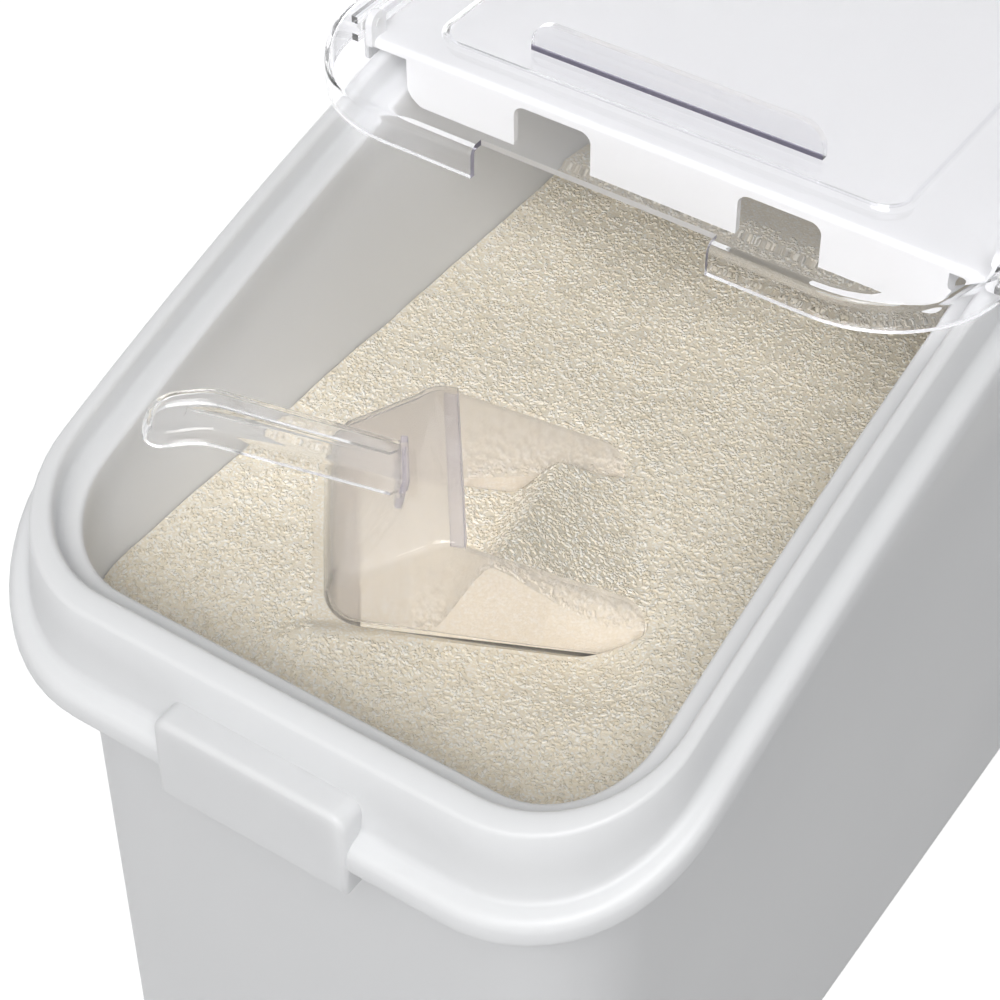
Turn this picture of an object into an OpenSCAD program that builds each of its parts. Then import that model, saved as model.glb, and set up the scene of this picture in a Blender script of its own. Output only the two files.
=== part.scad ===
// Rice and flour bin for a kitchen shelf: a deep moulded tub with a sloped
// front mouth, a white rear lid that sits on the level rear rim, a clear front
// lid that slides back over it and tips down onto the sloped rim, a clear
// scoop, and the rice.  Millimetres, +Z up, +Y to the rear.
// The origin is at the centre of the footprint, on the surface it stands on.

/* [Tub] */
// Width over the outer edge of the rim
rim_w = 275; // [220:1:340]
// Length over the outer edge of the rim
rim_l = 572; // [480:1:700]
// Height of the rim at the front
front_h = 342; // [240:1:420]
// Corner radius of the rim, seen from above
rim_corner_r = 55; // [40:1:70]
// Wall thickness of the tub
wall = 5.6; // [4:0.1:8]
// Floor thickness
floor_t = 4; // [3:0.5:8]
// Height of the standing ring under the floor
foot_h = 3; // [1:0.5:6]
// How much each wall leans in over the full height
draft = 3; // [0:0.5:8]

/* [Rim] */
// Slope of the rim at the front edge, in degrees
rim_slope = 22; // [18:0.5:26]
// Radius of the long curve of the sloped rim, seen from the side
rim_curve_r = 1600; // [1200:10:4000]
// Length of the sloped part of the rim
slope_l = 256; // [200:1:300]
// Radius of the bend from the slope to the level rear rim
bend_r = 120; // [60:1:200]
// Width of the top band at the sides and rear
band_w = 6; // [4:0.5:10]
// Width of the top band at the front
band_front_w = 10.5; // [6:0.5:16]
// Depth of the step inside the top band
step_d = 12; // [6:0.5:16]
// Width of the step
step_w = 9.4; // [6:0.1:16]
// How far the bead stands out from the rim
bead_out = 11.5; // [8:0.5:16]
// Height of the bead
bead_h = 14; // [8:0.5:20]
// Drop from the rim to the bead at the front
bead_drop_front = 29.5; // [24:0.5:40]
// Drop from the rim to the bead along the sides
bead_drop_side = 19; // [17:0.5:24]

/* [Pull tab] */
// Width of the hooded pull at the front
tab_w = 84; // [60:1:110]
// How far the pull stands out from the rim
tab_out = 13.2; // [12:0.1:20]
// Height of the pull
tab_h = 40; // [30:1:50]

/* [Rear lid] */
// Thickness of the rear lid's plate
plate_t = 4; // [2:0.5:6]
// Width of each cut-out in the hanging flange
cutout_w = 36; // [20:1:50]
// Distance between the centres of the two cut-outs
cutout_gap = 102; // [60:1:140]

/* [Front lid] */
// Length of the clear lid
lid_l = 294; // [280:1:330]
// Depth inside the clear lid, from its lower edge
lid_d = 15.2; // [14:0.1:24]
// Thickness of the clear lid
lid_t = 2.5; // [1.5:0.1:4]
// Width of the raised panel
panel_w = 204; // [150:1:230]
// Height of the raised panel above the rest of the lid
panel_up = 2.5; // [2:0.5:8]
// Length of the upright grip
grip_l = 128; // [80:1:160]
// Height of the upright grip
grip_h = 16; // [8:1:25]

/* [Scoop] */
// Length of the scoop's bowl
bowl_l = 122; // [100:1:150]
// Width of the bowl
bowl_w = 89; // [70:1:110]
// Height of the bowl at its hood
bowl_h = 54; // [44:1:60]
// Wall thickness of the scoop
scoop_t = 2.4; // [1.5:0.1:4]
// Width of the scoop's handle
handle_w = 24; // [16:1:32]
// Length of the handle behind the hood
handle_l = 98; // [70:1:110]
// Turn of the scoop about the vertical, in degrees
scoop_yaw = 37; // [20:1:50]
// How far the mouth of the scoop dips into the rice, in degrees
scoop_dip = 12; // [8:0.5:15]

/* [Rice] */
// Depth of the rice surface under the front of the rim
rice_drop = 41.5; // [38:0.5:120]

/* [Hidden] */
$fn = 64;

// Colours
tub_white = [0.92, 0.92, 0.91];
lid_white = [0.96, 0.96, 0.95];
clear_lilac = [0.86, 0.87, 0.92, 0.45];
shoe_white = [0.88, 0.88, 0.88];
rice_cream = [0.88, 0.84, 0.74];

// Clearances
slip = 0.3;          // between pieces that slide on or lie in each other
pin_slip = 0.05;     // radial, pivot pin in its bore
over = 1;            // how far joined shapes run into each other

// Places along Y
overall_l = tab_out + rim_l + bead_out;
y_front = tab_out - overall_l / 2;
y_rear = y_front + rim_l;
y_bend = y_front + slope_l;
rim_half = rim_w / 2;

// Side view of the rim: a long arc, a short bend, then level
bend_a = asin(sin(rim_slope) - slope_l / rim_curve_r);
bend_l = bend_r * sin(bend_a);
y_flat = y_bend + bend_l;
slope_rise = rim_curve_r * (cos(bend_a) - cos(rim_slope));
rear_h = front_h + slope_rise + bend_r * (1 - cos(bend_a));
arc_steps = 16;
bend_steps = 4;
turn_steps = 6;

function slope_a(y) = asin(sin(rim_slope) - (y - y_front) / rim_curve_r);
function rim_z(y) =
    y >= y_flat ? rear_h :
    y >= y_bend ? rear_h - bend_r * (1 - cos(asin((y_flat - y) / bend_r))) :
    front_h + rim_curve_r * (cos(slope_a(y)) - cos(rim_slope));

// Drop from the rim to the top of the bead, deeper round the front corners
turn_l = 60;
bead_drop_mid = bead_drop_side + 2.5;
function ease(t) = (1 - cos(180 * t)) / 2;
function bead_drop(y) =
    let (a = y - y_front)
    a <= 0 ? bead_drop_front :
    a <= turn_l ? bead_drop_front + (bead_drop_mid - bead_drop_front) * ease(a / turn_l) :
    a <= slope_l ? bead_drop_mid
        + (bead_drop_side - bead_drop_mid) * (a - turn_l) / (slope_l - turn_l) :
    bead_drop_side;

// Stations along Y at which the side view has a point
beyond = 40;
stations = concat(
    [y_front - beyond],
    [for (i = [0 : turn_steps]) y_front + turn_l * i / turn_steps],
    [for (i = [1 : arc_steps]) y_front + turn_l + (slope_l - turn_l) * i / arc_steps],
    [for (i = [1 : bend_steps]) y_bend + bend_l * i / bend_steps],
    [y_rear + beyond]);

// Collar and bead
collar_t = 3;
collar_flare = 3;                                // how far the collar's foot stands out
flare_bands = 2;
bead_chamfer = 2.5;
ledge_t = 3.5;                                   // thickness under the step

// Walls of the tub, as insets from the rim's outer edge
mouth_in = band_w + step_w;
mouth_in_front = band_front_w + step_w;
wall_in = mouth_in - wall;
wall_in_front = mouth_in_front - wall;
foot_w = wall + 3;

// Pull tab
tab_top_drop = 17;
tab_wall = 3.8;
tab_corner_r = 6;

// Rear lid
plate_z = rear_h + plate_t;
flange_t = 3;
flange_y = y_bend - flange_t;
flange_drop = 21;
flange_half = rim_half - mouth_in - over;
cutout_h = 19.5;
cutout_r = 5;
locate_drop = 9;                                 // ribs that hold the lid in the mouth
locate_t = 2.5;
lip_half = rim_half + collar_flare + 6.5;
lip_t = 2.5;
lip_drop = 12;
lip_rear = y_rear + lip_half - rim_half;
hip_half = rim_half + 2.5;                       // the plate is narrower near the pivots
hip_y = y_bend + 3;
pivot_y = y_bend;
pivot_z = plate_z + 6;
lug_t = 3.2;
lug_x = hip_half - 3.5;
lug_r = 5;
pin_r = 2;

// Front lid, drawn slid back and level
lid_z = plate_z + slip;
lid_top = lid_z + lid_d + lid_t;
lid_half = lip_half - 1;
lid_front = pivot_y - 59;
lid_rear = lid_front + lid_l;
lid_front_r = rim_corner_r - 2;
lid_rear_r = 8;
nose_r = 4;
brow_flat = 13;
brow_l = 50;
brow_drop = 4;
panel_half = panel_w / 2;
panel_r = 12;
panel_front = lid_front + brow_l - 2;             // the panel meets the top of the ramp
panel_margin = 16;
notch_half = 51;
notch_h = 14;
notch_d = 7;
groove_h = 5;
rib_depth = 3.1;
rib_t = 3;
rib_front = lid_front + 50;
grip_y = pivot_y + 1;
grip_t = 3;
grip_r = 10;

// Guide shoes
shoe_l = 12;
shoe_out = lid_half - lid_t - slip;
shoe_in = lug_x + lug_t + 2 * slip;
pin_in = lug_x - 0.5;

// Scoop, in its own frame: x along the bowl, y across, z up from its floor
scoop_x = -58;
scoop_y = y_front + 103.5;
scoop_z = front_h - rice_drop + 5.5;
peak_a = 46;
hood_edge = 5.5;
hood_edge_t = 4.5;
tip_u = 19;
shoulder_a = bowl_l - 13.5;
shoulder_u = 33;
heel_r = 14;
crown_r = 16;
hood_a = 50;                                     // steepness of the hood's rear, degrees
side_r = 12;
root_a = 26;
root_u = 51;
root_t = 3;
root_h = 14;
handle_rise = 10.5;                              // against the bowl's floor, degrees
handle_d = 9;
hook_l = 20;
hook_drop = 10.5;
handle_r = 9;

// Rice
rice_z = front_h - rice_drop;
load_crest_a = 70;
load_crest_u = 27;
load_back_u = 14;

// ------------------------------------------------------------- shared shapes

function arc(cx, cy, r, from, to, steps) =
    [for (i = [0 : steps]) let (t = from + (to - from) * i / steps)
        [cx + r * cos(t), cy + r * sin(t)]];

function level(drop) = [for (y = stations) drop];
function along_bead(extra) = [for (y = stations) bead_drop(y) + extra];
function along_flare(part) = [for (y = stations) bead_drop(y) * part];

// Rectangle from y0 to y1 with front and rear corner radii
module rounded_rect(half, y0, y1, r_front, r_rear) {
    y_mid = (y0 + y1) / 2;
    union() {
        translate([-half + r_front, y0]) square([2 * (half - r_front), y_mid - y0]);
        translate([-half + r_rear, y_mid]) square([2 * (half - r_rear), y1 - y_mid]);
        translate([-half, y0 + r_front]) square([2 * half, y1 - y0 - r_front - r_rear]);
        for (s = [-1, 1]) {
            translate([s * (half - r_front), y0 + r_front]) circle(r_front);
            translate([s * (half - r_rear), y1 - r_rear]) circle(r_rear);
        }
    }
}

// Plan of the rim, drawn in by one inset all round and another at the front
module rim_plan(inset, inset_front) {
    r = rim_corner_r - inset;
    rounded_rect(rim_half - inset, y_front + inset_front, y_rear - inset, r, r);
}

// Ring of the rim's plan between two insets, taller than the tub
module rim_ring(outer, outer_front, inner, inner_front) {
    linear_extrude(rear_h + beyond)
        difference() {
            rim_plan(outer, outer_front);
            rim_plan(inner, inner_front);
        }
}

// Slab across the full width between two curves given as drops below the rim
module rim_slab(high, low) {
    last = len(stations) - 1;
    low_side = [for (i = [0 : last]) [stations[i], rim_z(stations[i]) - low[i]]];
    high_side = [for (i = [last : -1 : 0]) [stations[i], rim_z(stations[i]) - high[i]]];
    rotate([90, 0, 90])
        linear_extrude(rim_w + 2 * beyond, center = true)
            polygon(concat(low_side, high_side));
}

// Tapered block of the tub's plan between two heights
module tub_block(inset, inset_front, z0, z1) {
    y0 = y_front + inset_front;
    y1 = y_rear - inset;
    half = rim_half - inset;
    half_l = (y1 - y0) / 2;
    lean0 = draft * (rear_h - z0) / rear_h;
    lean1 = draft * (rear_h - z1) / rear_h;
    r = rim_corner_r - inset - lean0;
    translate([0, (y0 + y1) / 2, z0])
        linear_extrude(z1 - z0, slices = 1, scale = [(half - lean1) / (half - lean0),
                                                     (half_l - lean1) / (half_l - lean0)])
            rounded_rect(half - lean0, lean0 - half_l, half_l - lean0, r, r, $fn = 32);
}

// ----------------------------------------------------------------------- tub

module bin_body() {
    color(tub_white)
        difference() {
            union() {
                tub_shell();
                rim_head();
                collar();
                bead();
                pull_tab();
            }
            tab_pocket();
        }
}

// Walls, floor and standing ring, cut off under the step
module tub_shell() {
    difference() {
        tub_block(wall_in, wall_in_front, 0, rear_h);
        tub_block(mouth_in, mouth_in_front, foot_h + floor_t, rear_h + over);
        tub_block(wall_in + foot_w, wall_in_front + foot_w, -over, foot_h);
        rim_slab(level(-2 * beyond), level(step_d + over));
    }
}

// Top band and the step inside it
module rim_head() {
    intersection() {
        rim_ring(0, 0, band_w, band_front_w);
        rim_slab(level(0), level(step_d + ledge_t));
    }
    intersection() {
        rim_ring(band_w - over, band_front_w - over, mouth_in, mouth_in_front);
        rim_slab(level(step_d), level(step_d + ledge_t));
    }
}

// Outer collar, which flares a little towards the bead
module collar() {
    intersection() {
        rim_ring(0, 0, collar_t, collar_t);
        rim_slab(level(step_d), along_bead(bead_h));
    }
    for (k = [1 : flare_bands])
        intersection() {
            flare = collar_flare * (k - 0.5) / flare_bands;
            rim_ring(-flare, -flare, over, over);
            rim_slab(along_flare(k / (flare_bands + 1)), along_bead(over));
        }
}

// Bead under the collar
module bead() {
    intersection() {
        rim_ring(bead_chamfer - bead_out, bead_chamfer - bead_out, over, over);
        rim_slab(along_bead(0), along_bead(bead_h));
    }
    intersection() {
        rim_ring(-bead_out, -bead_out, over, over);
        rim_slab(along_bead(bead_chamfer), along_bead(bead_h - bead_chamfer));
    }
}

// Hooded pull, moulded onto the front of the collar and open underneath
module pull_tab() {
    z1 = front_h - tab_top_drop;
    translate([0, y_front + over, z1 - tab_h])
        rotate([90, 0, 0])
            linear_extrude(tab_out + over)
                tab_face(tab_w, tab_h);
}

module tab_face(w, h) {
    union() {
        translate([-w / 2, 0]) square([w, h - tab_corner_r]);
        translate([-w / 2 + tab_corner_r, 0]) square([w - 2 * tab_corner_r, h]);
        for (s = [-1, 1]) translate([s * (w / 2 - tab_corner_r), h - tab_corner_r]) circle(tab_corner_r);
    }
}

// Finger space behind the pull, in front of the wall
module tab_pocket() {
    depth = tab_out - tab_wall + wall_in_front - over;
    z1 = front_h - tab_top_drop - tab_wall;
    translate([0, y_front + wall_in_front - over, z1 - tab_h])
        rotate([90, 0, 0])
            linear_extrude(depth)
                tab_face(tab_w - 2 * tab_wall, tab_h);
}

// ------------------------------------------------------------------ rear lid

module rear_lid() {
    color(lid_white)
        difference() {
            union() {
                rear_plate();
                outer_lip();
                hanging_flange();
                locating_ribs();
                for (s = [-1, 1]) pivot_lug(s);
            }
            for (s = [-1, 1]) translate([s * cutout_gap / 2, 0, 0]) flange_cutout();
            translate([-rim_half - beyond, pivot_y, pivot_z])
                rotate([0, 90, 0])
                    cylinder(h = rim_w + 2 * beyond, r = pin_r + pin_slip);
        }
}

module lip_plan(inset) {
    r = rim_corner_r + lip_half - rim_half - inset;
    rounded_rect(lip_half - inset, hip_y - 2 * r, lip_rear - inset, r, r);
}

// Everything behind the hips, as a block for trimming
module behind(y, z0, z1) {
    translate([-lip_half - over, y, z0]) cube([2 * (lip_half + over), lip_rear - y + over, z1 - z0]);
}

module rear_plate() {
    intersection() {
        translate([0, 0, rear_h]) linear_extrude(plate_t) lip_plan(0);
        behind(hip_y, rear_h, plate_z);
    }
    translate([-hip_half, flange_y, rear_h])
        cube([2 * hip_half, hip_y - flange_y + over, plate_t]);
}

// Skirt outside the collar
module outer_lip() {
    intersection() {
        translate([0, 0, rear_h - lip_drop])
            linear_extrude(lip_drop + over)
                difference() {
                    lip_plan(0);
                    lip_plan(lip_t);
                }
        behind(hip_y, rear_h - lip_drop, plate_z);
    }
}

// Wall that hangs into the mouth behind the opening
module hanging_flange() {
    r = 8;
    translate([0, y_bend, rear_h - flange_drop])
        rotate([90, 0, 0])
            linear_extrude(flange_t)
                union() {
                    translate([-flange_half, r]) square([2 * flange_half, flange_drop + over - r]);
                    translate([-flange_half + r, 0]) square([2 * (flange_half - r), flange_drop]);
                    for (s = [-1, 1]) translate([s * (flange_half - r), r]) circle(r);
                }
}

module flange_cutout() {
    translate([0, y_bend + over, rear_h - flange_drop - over])
        rotate([90, 0, 0])
            linear_extrude(flange_t + 2 * over)
                union() {
                    translate([-cutout_w / 2, 0]) square([cutout_w, cutout_h + over - cutout_r]);
                    translate([-cutout_w / 2 + cutout_r, 0])
                        square([cutout_w - 2 * cutout_r, cutout_h + over]);
                    for (s = [-1, 1])
                        translate([s * (cutout_w / 2 - cutout_r), cutout_h + over - cutout_r])
                            circle(cutout_r);
                }
}

// Ribs under the plate that drop inside the mouth and hold the lid in place
module locating_ribs() {
    intersection() {
        rim_ring(mouth_in + over, mouth_in + over, mouth_in + over + locate_t,
                 mouth_in + over + locate_t);
        behind(y_bend - over, rear_h - locate_drop, rear_h + over);
    }
}

module pivot_lug(s) {
    x0 = s > 0 ? lug_x : -lug_x - lug_t;
    translate([x0, pivot_y, pivot_z])
        rotate([90, 0, 90])
            linear_extrude(lug_t)
                union() {
                    circle(lug_r);
                    translate([-lug_r, rear_h - pivot_z + over])
                        square([2 * lug_r, pivot_z - rear_h - over]);
                }
}

// ----------------------------------------------------------------- front lid

module front_lid() {
    color(clear_lilac)
        difference() {
            union() {
                difference() {
                    lid_solid(0);
                    lid_solid(lid_t);
                }
                for (s = [-1, 1]) guide_ribs(s);
                grip();
            }
            translate([-notch_half, lid_front - over, lid_z - over])
                cube([2 * notch_half, notch_d + over, notch_h + over]);
        }
}

// Side view of the lid: rounded nose, low brow, ramp, level top
module lid_profile(inset) {
    y0 = lid_front + inset;
    z1 = lid_top - inset;
    low = z1 - brow_drop;
    r = nose_r;
    polygon(concat(
        [[lid_rear - inset, lid_z - (inset > 0 ? over : 0)], [lid_rear - inset, z1],
         [lid_front + brow_l, z1], [lid_front + brow_flat, low]],
        arc(y0 + r, low - r, r, 90, 180, 4),
        [[y0, lid_z - (inset > 0 ? over : 0)]]));
}

module lid_solid(inset) {
    intersection() {
        rotate([90, 0, 90]) linear_extrude(2 * lid_half, center = true) lid_profile(inset);
        translate([0, 0, lid_z - over])
            linear_extrude(lid_top - lid_z + 2 * over)
                rounded_rect(lid_half - inset, lid_front + inset, lid_rear - inset,
                             lid_front_r - inset, lid_rear_r - inset);
    }
    translate([0, 0, lid_top - lid_t - over])
        linear_extrude(lid_t + over + panel_up - inset)
            rounded_rect(panel_half - inset, panel_front + inset,
                         lid_rear - panel_margin - inset, panel_r - inset, panel_r - inset);
}

// Two ribs inside each side that make the groove for the guide shoe
module guide_ribs(s) {
    x_out = lid_half - lid_t + over;
    x_in = lid_half - lid_t - rib_depth;
    x0 = s > 0 ? x_in : -x_out;
    l = lid_rear - lid_t - rib_front;
    low_h = pivot_z - groove_h / 2 - lid_z;
    translate([x0, rib_front, lid_z]) cube([x_out - x_in, l, low_h]);
    translate([x0, rib_front, pivot_z + groove_h / 2]) cube([x_out - x_in, l, rib_t]);
}

module grip() {
    half = grip_l / 2;
    root_z = lid_top + panel_up - lid_t + over;
    h = lid_top + grip_h - root_z;
    translate([0, grip_y + grip_t, root_z])
        rotate([90, 0, 0])
            linear_extrude(grip_t)
                intersection() {
                    translate([-half, 0]) square([grip_l, h]);
                    union() {
                        translate([-half, 0]) square([grip_l, h - grip_r]);
                        translate([-half + grip_r, 0]) square([grip_l - 2 * grip_r, h]);
                        for (s = [-1, 1]) translate([s * (half - grip_r), h - grip_r]) circle(grip_r);
                    }
                }
}

// ------------------------------------------------------------- guide shoes

module guide_shoe(s) {
    h = groove_h - 2 * slip;
    x0 = s > 0 ? shoe_in : -shoe_out;
    pin_x0 = s > 0 ? pin_in : -shoe_in - over;
    color(shoe_white)
        union() {
            translate([x0, pivot_y - shoe_l / 2, pivot_z - h / 2])
                cube([shoe_out - shoe_in, shoe_l, h]);
            translate([pin_x0, pivot_y, pivot_z])
                rotate([0, 90, 0])
                    cylinder(h = shoe_in + over - pin_in, r = pin_r);
        }
}

module guide_shoe_left() { guide_shoe(-1); }
module guide_shoe_right() { guide_shoe(1); }

// --------------------------------------------------------------------- scoop

module at_scoop() {
    translate([scoop_x, scoop_y, scoop_z])
        rotate([0, scoop_dip, scoop_yaw])
            children();
}

// A side view in the scoop's frame, extruded across to a width
module across(w) {
    rotate([90, 0, 0]) linear_extrude(w, center = true) children();
}

// Rear of the bowl: heel, steep back, hood up to its front edge
function bowl_rear(t) = concat(
    arc(heel_r, heel_r, heel_r - t, 270, 180, 6),
    arc(crown_r, heel_r + 6, crown_r - t, 180, 180 - hood_a, 5),
    arc(peak_a - 6, bowl_h - crown_r, crown_r - t, 180 - hood_a, 90, 5));

module bowl_outside() {
    intersection() {
        across(bowl_w)
            polygon(concat(
                bowl_rear(0),
                [[peak_a, bowl_h], [shoulder_a, shoulder_u]],
                arc(bowl_l - 18, tip_u - 1, 18, 45, 0, 3),
                arc(bowl_l - 18, tip_u - 1, 18, 0, -80, 5)));
        bowl_plan(0);
    }
}

// The hollow, open at the front and above everything ahead of the hood
module bowl_inside() {
    reach = bowl_l + 20;
    intersection() {
        across(bowl_w - 2 * scoop_t)
            polygon(concat(
                bowl_rear(scoop_t),
                [[peak_a - hood_edge, bowl_h - scoop_t],
                 [peak_a - hood_edge, bowl_h - hood_edge_t],
                 [peak_a, bowl_h - hood_edge_t], [peak_a, bowl_h + over],
                 [reach, bowl_h + over], [reach, scoop_t]]));
        bowl_plan(scoop_t);
    }
}

module bowl_plan(inset) {
    far = bowl_l + beyond;
    r = side_r - inset;
    translate([0, 0, -over])
        linear_extrude(bowl_h + 3 * over)
            rotate([0, 0, -90])
                rounded_rect(bowl_w / 2 - inset, inset, far, r, r);
}

// Upright plate on the hood that the handle grows from
module handle_root() {
    w = handle_w + 2 * over;
    translate([root_a - root_t, -w / 2, root_u - root_h])
        cube([root_t, w, root_h + over]);
}

// Shallow channel, open underneath, with a hooked end
module handle() {
    translate([root_a, 0, root_u])
        rotate([0, -handle_rise, 180])
            difference() {
                handle_solid(0);
                handle_solid(scoop_t);
            }
}

module handle_solid(inset) {
    low = inset > 0 ? over : 0;
    intersection() {
        across(handle_w - 2 * inset)
            polygon([[0, -inset], [handle_l - hook_l - inset, -inset],
                     [handle_l - inset, -hook_drop - inset],
                     [handle_l - inset, -hook_drop - handle_d + 2 - low],
                     [handle_l - hook_l, -handle_d - low], [0, -handle_d - low]]);
        translate([0, 0, -2 * handle_d - hook_drop])
            linear_extrude(3 * handle_d + hook_drop)
                rotate([0, 0, -90])
                    rounded_rect(handle_w / 2 - inset, -handle_l, handle_l - inset,
                                 handle_r - inset, handle_r - inset);
    }
}

module scoop() {
    color(clear_lilac)
        at_scoop()
            union() {
                difference() {
                    bowl_outside();
                    bowl_inside();
                }
                handle_root();
                handle();
            }
}

// ---------------------------------------------------------------------- rice

// Everything the scoop's bowl takes up in the rice, with its clearance
module scoop_bed_cut() {
    at_scoop()
        translate([-2 * over, -bowl_w / 2 - slip, -slip])
            cube([bowl_l + 3 * over, bowl_w + 2 * slip, 2 * bowl_h]);
}

module rice_bed() {
    color(rice_cream)
        difference() {
            tub_block(mouth_in + slip, mouth_in_front + slip, foot_h + floor_t, rice_z);
            scoop_bed_cut();
        }
}

// Load of rice lying in the bowl, level with the bed at the mouth
module rice_in_scoop() {
    floor_u = scoop_t + slip;
    mouth_a = bowl_l - 8;
    mouth_u = tip_u - 1;
    color(rice_cream)
        at_scoop()
            intersection() {
                across(bowl_w - 2 * (scoop_t + slip))
                    polygon([[heel_r, floor_u], [mouth_a, floor_u], [mouth_a, mouth_u],
                             [load_crest_a, load_crest_u], [heel_r, load_back_u]]);
                bowl_plan(scoop_t + slip);
            }
}

bin_body();
rear_lid();
front_lid();
guide_shoe_left();
guide_shoe_right();
scoop();
rice_bed();
rice_in_scoop();
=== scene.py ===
"""Ingredient bin: the finished look of each moulding and of the rice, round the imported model."""

import math
import random

import bmesh
import bpy
from mathutils import Matrix, Vector, noise


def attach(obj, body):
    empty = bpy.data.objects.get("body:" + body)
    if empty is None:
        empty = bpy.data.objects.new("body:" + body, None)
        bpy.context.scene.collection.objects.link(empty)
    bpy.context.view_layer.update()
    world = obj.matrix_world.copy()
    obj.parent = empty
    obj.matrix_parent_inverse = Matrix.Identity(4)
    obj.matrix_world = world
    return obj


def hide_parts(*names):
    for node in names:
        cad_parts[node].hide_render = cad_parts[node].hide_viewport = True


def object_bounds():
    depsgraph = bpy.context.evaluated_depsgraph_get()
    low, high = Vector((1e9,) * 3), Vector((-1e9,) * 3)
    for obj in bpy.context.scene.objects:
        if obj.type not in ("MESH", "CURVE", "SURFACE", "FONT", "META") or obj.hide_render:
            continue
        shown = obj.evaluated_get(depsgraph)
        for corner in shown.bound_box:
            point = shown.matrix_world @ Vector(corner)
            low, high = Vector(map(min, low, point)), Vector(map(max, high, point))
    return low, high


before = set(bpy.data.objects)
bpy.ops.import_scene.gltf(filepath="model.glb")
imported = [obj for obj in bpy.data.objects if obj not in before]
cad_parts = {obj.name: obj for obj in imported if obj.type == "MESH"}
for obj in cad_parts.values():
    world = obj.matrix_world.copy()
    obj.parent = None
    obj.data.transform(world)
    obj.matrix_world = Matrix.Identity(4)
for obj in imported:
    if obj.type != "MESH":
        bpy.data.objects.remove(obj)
cad_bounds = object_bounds()
mm = 0.001

# ---------------------------------------------------------------- studio
# A white sweep under two broad softboxes in front and a lower one behind, with
# soft light all round. The camera looks down into the mouth from the front right.

CAMERA_AT = (0.3828, -0.7139, 0.9780)
CAMERA_TILT, CAMERA_ROLL, CAMERA_TURN = 46.798, -0.4905, 34.249
LENS_MM, SENSOR_MM = 89.34, 36

camera_data = bpy.data.cameras.new("camera")
camera_data.lens = LENS_MM
camera_data.sensor_width = SENSOR_MM
camera = bpy.data.objects.new("camera", camera_data)
camera.location = CAMERA_AT
camera.rotation_euler = [math.radians(a) for a in (CAMERA_TILT, CAMERA_ROLL, CAMERA_TURN)]
bpy.context.scene.collection.objects.link(camera)
bpy.context.scene.camera = camera
bpy.context.scene.view_settings.view_transform = "Standard"

WHITE, SKY_TINT, FLOOR_SHADE = (1, 1, 1, 1), (0.98, 0.99, 1.0, 1), (0.45, 0.45, 0.455, 1)
SKY_LIGHT, FLOOR_GLOW = 0.27, 0.80
FLOOR_SIZE = 12.0
LIGHT_AIM = (0.0, 0.0, 0.3)


def add_nodes(tree, *kinds):
    """New nodes of the given kinds in a node tree."""
    return [tree.nodes.new(kind) for kind in kinds]


def feed(tree, socket, value):
    """Links an input to another node's output, or sets it to a plain value."""
    if isinstance(value, bpy.types.NodeSocket):
        tree.links.new(value, socket)
    else:
        socket.default_value = value


def set_up(tree, node, values):
    """Feeds a node's named inputs from other nodes' outputs or plain values."""
    for label, value in values.items():
        feed(tree, node.inputs[label], value)


def mixed(tree, share, plain, other):
    """The output of a shader that is mixed from two others."""
    mix = tree.nodes.new("ShaderNodeMixShader")
    for socket, value in zip(mix.inputs, (share, plain.outputs[0], other.outputs[0])):
        tree.links.new(value, socket)
    return mix.outputs[0]


def maths(tree, operation, *values):
    """The result of a new math node on outputs or plain numbers."""
    node = tree.nodes.new("ShaderNodeMath")
    node.operation = operation
    for socket, value in zip(node.inputs, values):
        feed(tree, socket, value)
    return node.outputs[0]


def new_material(name):
    """A new material, with its node tree and its Principled shader."""
    material = bpy.data.materials.new(name)
    material.use_nodes = True
    tree = material.node_tree
    return material, tree, tree.nodes["Principled BSDF"]


def softbox(name, at, size, power):
    """A square area lamp turned to the middle of the bin."""
    lamp = bpy.data.lights.new(name, "AREA")
    lamp.size = size
    lamp.energy = power
    light = bpy.data.objects.new(name, lamp)
    light.location = at
    light.rotation_euler = (Vector(LIGHT_AIM) - Vector(at)).to_track_quat("-Z", "Y").to_euler()
    bpy.context.scene.collection.objects.link(light)


def seen_directly(tree):
    """A socket that is 1 where a surface is seen straight, in gloss or through glass."""
    path = tree.nodes.new("ShaderNodeLightPath").outputs
    seen = maths(tree, "MAXIMUM", path["Is Camera Ray"], path["Is Glossy Ray"])
    seen = maths(tree, "MAXIMUM", seen, path["Is Transmission Ray"])
    return maths(tree, "MULTIPLY", seen, maths(tree, "LESS_THAN", path["Diffuse Depth"], 0.5))


softbox("front", (0.2, -1.9, 1.5), 1.3, 12)
softbox("front_right", (0.8, -1.5, 1.9), 1.3, 24)
softbox("rear_left", (-1.7, 1.5, 0.7), 1.2, 13)

world = bpy.data.worlds.new("studio")
world.use_nodes = True
sky = world.node_tree
sky.nodes.clear()
dim, bright, out = add_nodes(sky, "ShaderNodeBackground", "ShaderNodeBackground",
                             "ShaderNodeOutputWorld")
set_up(sky, dim, {"Color": SKY_TINT, "Strength": SKY_LIGHT})
set_up(sky, bright, {"Color": WHITE})
set_up(sky, out, {"Surface": mixed(sky, seen_directly(sky), dim, bright)})
bpy.context.scene.world = world

paper, tree, _ = new_material("paper_sweep")
tree.nodes.clear()
matte, glow, both, out = add_nodes(tree, "ShaderNodeBsdfDiffuse", "ShaderNodeEmission",
                                   "ShaderNodeAddShader", "ShaderNodeOutputMaterial")
set_up(tree, matte, {"Color": FLOOR_SHADE})
set_up(tree, glow, {"Color": WHITE, "Strength": FLOOR_GLOW})
tree.links.new(matte.outputs[0], both.inputs[0])
tree.links.new(glow.outputs[0], both.inputs[1])
set_up(tree, out, {"Surface": mixed(tree, seen_directly(tree), matte, both)})

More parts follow.
